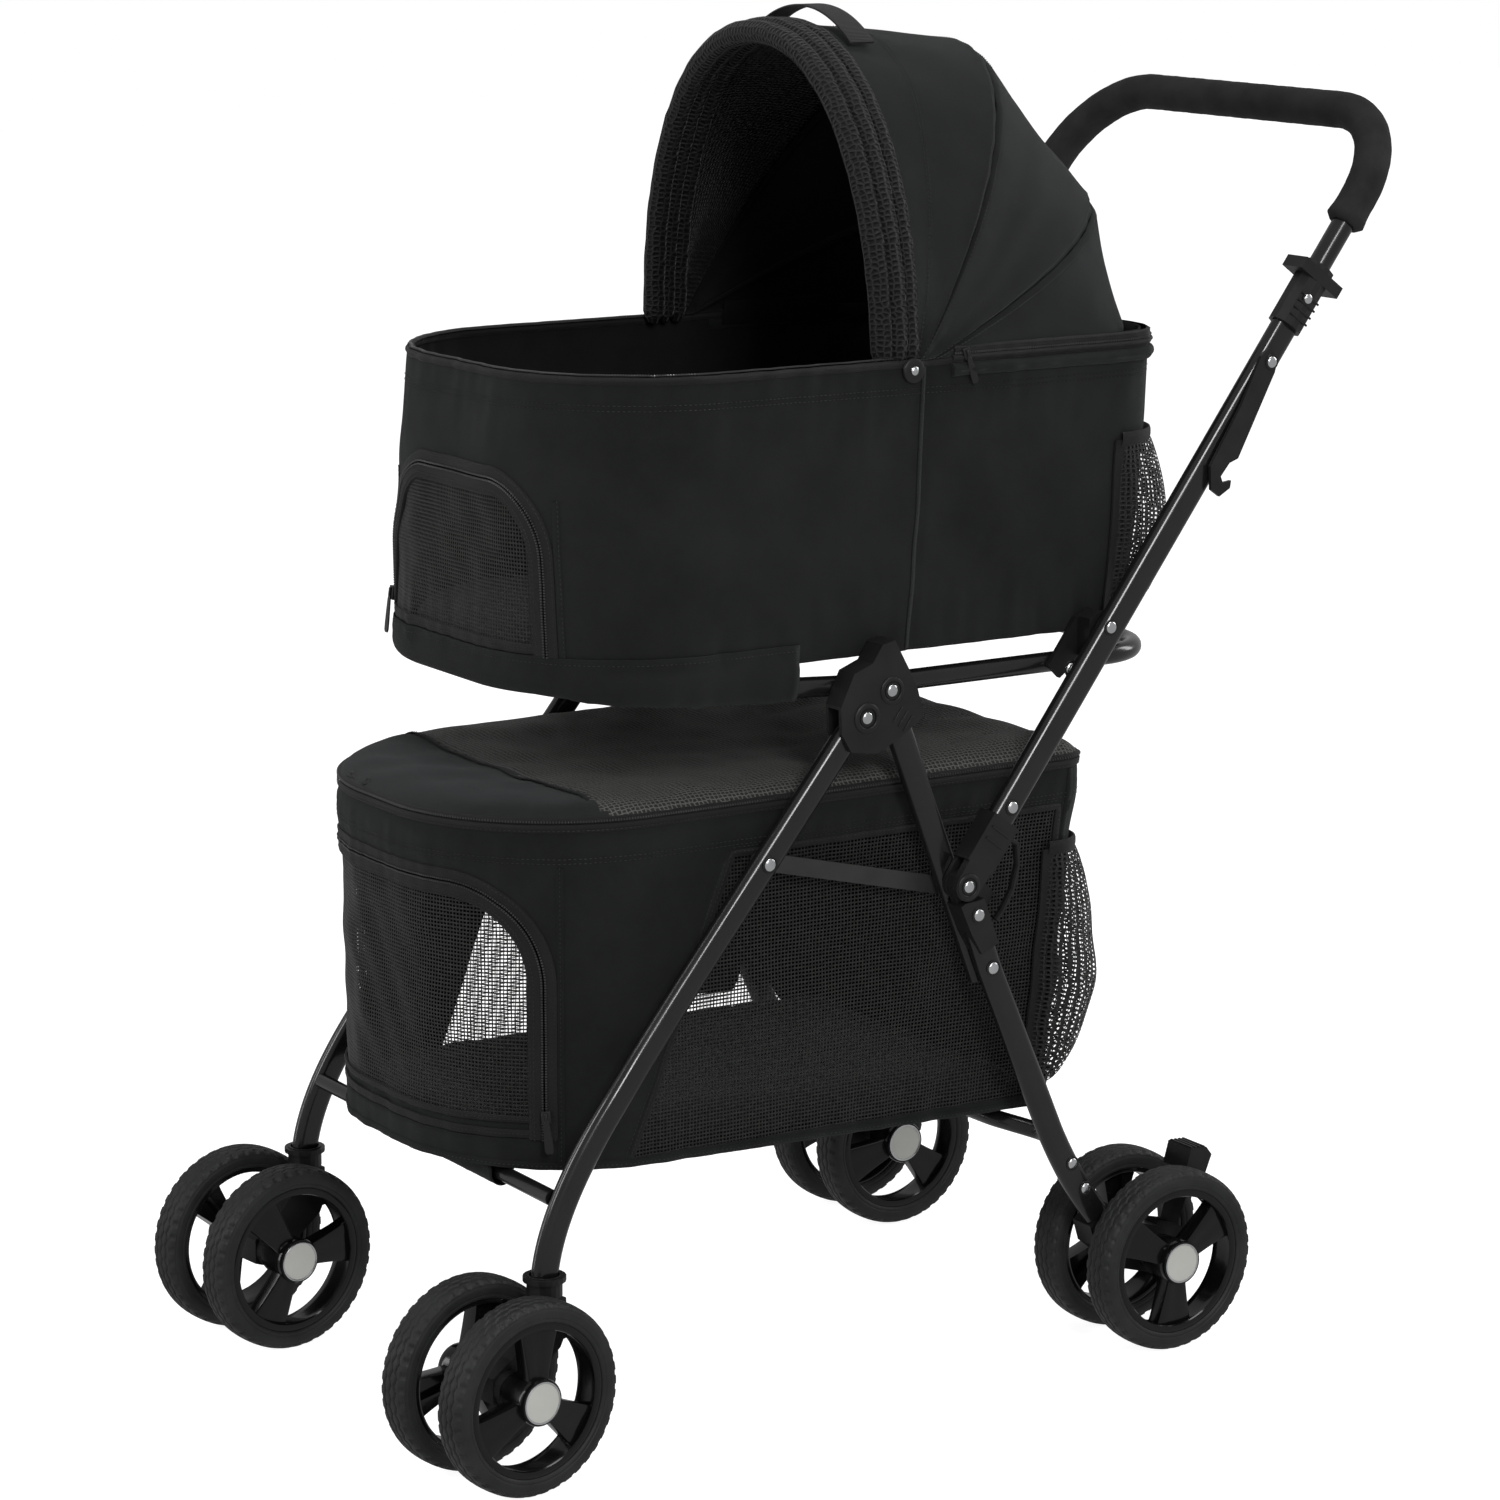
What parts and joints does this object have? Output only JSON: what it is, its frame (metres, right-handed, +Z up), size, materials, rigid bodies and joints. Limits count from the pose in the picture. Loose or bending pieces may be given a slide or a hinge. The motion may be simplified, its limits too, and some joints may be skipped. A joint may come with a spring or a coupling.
{
  "type": "pet stroller",
  "caption": "Folding double-deck pet stroller: push handle, hooded upper carrier with mesh door, zipped lower carrier, twin-wheel swivel casters and braked rear wheels.",
  "frame": {"origin": "centre of the bounding box at floor level, under the stroller", "axes": "+Z up, -Y towards the front casters, +X towards the side that carries the hook lever"},
  "size_m": [0.5072, 0.9356, 1.0657],
  "materials": {
    "coated_tube": "satin black powder coat",
    "black_plastic": "moulded, satin",
    "link_steel": "satin black flat bar",
    "tyre": "moulded tread",
    "wheel_plastic": "gloss black spokes",
    "foam": "closed-cell foam",
    "carrier_fabric": "woven polyester",
    "mesh_fabric": "open mesh",
    "pad_fabric": "quilted plush"
  },
  "bodies": {
    "rear_frame": {"rear_leg_lower_r": "coated_tube", "rear_leg_lower_l": "coated_tube", "knuckle_lower_r": "black_plastic", "knuckle_lower_l": "black_plastic", "rear_axle_housing_r": "black_plastic", "rear_axle_housing_l": "black_plastic", "rear_cross_tube": "coated_tube", "lower_carrier_shell": "carrier_fabric", "lower_carrier_lid": "mesh_fabric", "lower_cushion": "pad_fabric"},
    "upper_legs": {"rear_leg_upper_r": "coated_tube", "rear_leg_upper_l": "coated_tube", "hinge_cap_r": "black_plastic", "hinge_cap_l": "black_plastic"},
    "front_legs": {"front_leg_r": "coated_tube", "front_leg_l": "coated_tube", "front_cross_tube": "coated_tube", "swivel_socket_r": "black_plastic", "swivel_socket_l": "black_plastic"},
    "links": {"link_bar_r": "link_steel", "link_bar_l": "link_steel"},
    "handle": {"handle_lower_r": "coated_tube", "handle_lower_l": "coated_tube", "handle_upper_tube": "coated_tube", "foam_grip": "foam", "knuckle_upper_r": "black_plastic", "knuckle_upper_l": "black_plastic", "ear_bracket_r": "black_plastic", "ear_bracket_l": "black_plastic"},
    "collar_r": {"collar_r": "black_plastic"},
    "collar_l": {"collar_l": "black_plastic"},
    "hook": {"hook_lever_r": "black_plastic"},
    "ring": {"carrier_ring": "coated_tube", "upper_carrier_shell": "carrier_fabric", "upper_cushion": "pad_fabric", "canopy_rear": "carrier_fabric"},
    "canopy_front": {"canopy_front": "carrier_fabric"},
    "canopy_middle": {"canopy_middle": "carrier_fabric"},
    "upper_door": {"upper_front_door": "mesh_fabric"},
    "lower_door": {"lower_front_door": "mesh_fabric"},
    "caster_r": {"caster_fork_r": "black_plastic"},
    "caster_l": {"caster_fork_l": "black_plastic"},
    "pedal_r": {"brake_pedal_r": "black_plastic"},
    "pedal_l": {"brake_pedal_l": "black_plastic"},
    "wheel_fr_a": {"tyre_fr_a": "tyre", "rim_fr_a": "wheel_plastic"},
    "wheel_fr_b": {"tyre_fr_b": "tyre", "rim_fr_b": "wheel_plastic"},
    "wheel_fl_a": {"tyre_fl_a": "tyre", "rim_fl_a": "wheel_plastic"},
    "wheel_fl_b": {"tyre_fl_b": "tyre", "rim_fl_b": "wheel_plastic"},
    "wheel_rr_a": {"tyre_rr_a": "tyre", "rim_rr_a": "wheel_plastic"},
    "wheel_rr_b": {"tyre_rr_b": "tyre", "rim_rr_b": "wheel_plastic"},
    "wheel_rl_a": {"tyre_rl_a": "tyre", "rim_rl_a": "wheel_plastic"},
    "wheel_rl_b": {"tyre_rl_b": "tyre", "rim_rl_b": "wheel_plastic"}
  },
  "joints": [
    {"name": "fold", "type": "hinge", "parent": "rear_frame", "child": "handle", "pos_m": [-0.0035, 0.0258, 0.405], "axis": [1, 0, 0], "range_deg": [0, 58], "deforming": ["lower_carrier_shell", "lower_carrier_lid", "lower_cushion", "lower_front_door"]},
    {"name": "upper_leg_fold", "type": "hinge", "parent": "rear_frame", "child": "upper_legs", "pos_m": [-0.0035, 0.0523, 0.3355], "axis": [1, 0, 0], "range_deg": [0, 40.75]},
    {"name": "front_leg_fold", "type": "hinge", "parent": "upper_legs", "child": "front_legs", "pos_m": [-0.0035, -0.0602, 0.5455], "axis": [1, 0, 0], "range_deg": [0, 17.84]},
    {"name": "ring_fold", "type": "hinge", "parent": "upper_legs", "child": "ring", "pos_m": [-0.0035, -0.0372, 0.5645], "axis": [1, 0, 0], "range_deg": [0, 10.42]},
    {"name": "link_fold", "type": "hinge", "parent": "rear_frame", "child": "links", "pos_m": [-0.0035, 0.0548, 0.392], "axis": [1, 0, 0], "range_deg": [0, 43.01]},
    {"name": "collar_slide_r", "type": "slide", "parent": "handle", "child": "collar_r", "axis": [0, 0.5945, 0.8041], "range_m": [0, 0.018], "stiffness_N_per_m": 300, "springref_m": -0.01},
    {"name": "collar_slide_l", "type": "slide", "parent": "handle", "child": "collar_l", "axis": [0, 0.5945, 0.8041], "range_m": [0, 0.018], "stiffness_N_per_m": 300, "springref_m": -0.01},
    {"name": "hook_swing", "type": "hinge", "parent": "handle", "child": "hook", "pos_m": [0.20025, 0.3123, 0.7955], "axis": [1, 0, 0], "range_deg": [-25, 0], "stiffness_Nm_per_rad": 0.5, "springref_deg": 20.05},
    {"name": "caster_swivel_r", "type": "hinge", "parent": "front_legs", "child": "caster_r", "pos_m": [0.1905, -0.3462, 0.12], "axis": [0, 0, 1], "continuous": true},
    {"name": "caster_swivel_l", "type": "hinge", "parent": "front_legs", "child": "caster_l", "pos_m": [-0.1975, -0.3462, 0.12], "axis": [0, 0, 1], "continuous": true},
    {"name": "wheel_spin_fr_a", "type": "hinge", "parent": "caster_r", "child": "wheel_fr_a", "pos_m": [0.23091, -0.38462, 0.075], "axis": [0.9928, 0.1201, 0], "continuous": true},
    {"name": "wheel_spin_fr_b", "type": "hinge", "parent": "caster_r", "child": "wheel_fr_b", "pos_m": [0.16042, -0.39315, 0.075], "axis": [0.9928, 0.1201, 0], "continuous": true},
    {"name": "wheel_spin_fl_a", "type": "hinge", "parent": "caster_l", "child": "wheel_fl_a", "pos_m": [-0.15709, -0.38462, 0.075], "axis": [0.9928, 0.1201, 0], "continuous": true},
    {"name": "wheel_spin_fl_b", "type": "hinge", "parent": "caster_l", "child": "wheel_fl_b", "pos_m": [-0.22758, -0.39315, 0.075], "axis": [0.9928, 0.1201, 0], "continuous": true},
    {"name": "wheel_spin_rr_a", "type": "hinge", "parent": "rear_frame", "child": "wheel_rr_a", "pos_m": [0.228, 0.2163, 0.075], "axis": [1, 0, 0], "continuous": true},
    {"name": "wheel_spin_rr_b", "type": "hinge", "parent": "rear_frame", "child": "wheel_rr_b", "pos_m": [0.157, 0.2163, 0.075], "axis": [1, 0, 0], "continuous": true},
    {"name": "wheel_spin_rl_a", "type": "hinge", "parent": "rear_frame", "child": "wheel_rl_a", "pos_m": [-0.164, 0.2163, 0.075], "axis": [1, 0, 0], "continuous": true},
    {"name": "wheel_spin_rl_b", "type": "hinge", "parent": "rear_frame", "child": "wheel_rl_b", "pos_m": [-0.235, 0.2163, 0.075], "axis": [1, 0, 0], "continuous": true},
    {"name": "brake_press_r", "type": "hinge", "parent": "rear_frame", "child": "pedal_r", "pos_m": [0.1925, 0.2438, 0.085], "axis": [1, 0, 0], "range_deg": [-14, 0]},
    {"name": "brake_press_l", "type": "hinge", "parent": "rear_frame", "child": "pedal_l", "pos_m": [-0.1995, 0.2438, 0.085], "axis": [1, 0, 0], "range_deg": [-14, 0]},
    {"name": "canopy_retract", "type": "hinge", "parent": "ring", "child": "canopy_front", "pos_m": [-0.0035, -0.0012, 0.807], "axis": [1, 0, 0], "range_deg": [-60, 0], "deforming": ["canopy_front", "canopy_middle", "canopy_rear"]},
    {"name": "canopy_mid_retract", "type": "hinge", "parent": "ring", "child": "canopy_middle", "pos_m": [-0.0035, -0.0012, 0.807], "axis": [1, 0, 0], "range_deg": [-30, 0]},
    {"name": "upper_door_open", "type": "hinge", "parent": "ring", "child": "upper_door", "pos_m": [-0.0035, -0.3181, 0.6036], "axis": [1, 0, 0], "range_deg": [0, 100]},
    {"name": "lower_door_open", "type": "hinge", "parent": "rear_frame", "child": "lower_door", "pos_m": [-0.0035, -0.377, 0.2376], "axis": [1, 0, 0], "range_deg": [0, 100]}
  ],
  "couplings": [
    {"joint": "upper_leg_fold", "follows": "fold", "ratio": 0.694},
    {"joint": "front_leg_fold", "follows": "fold", "ratio": 0.299},
    {"joint": "ring_fold", "follows": "fold", "ratio": 0.171},
    {"joint": "link_fold", "follows": "fold", "ratio": 0.733},
    {"joint": "canopy_mid_retract", "follows": "canopy_retract", "ratio": 0.5}
  ]
}
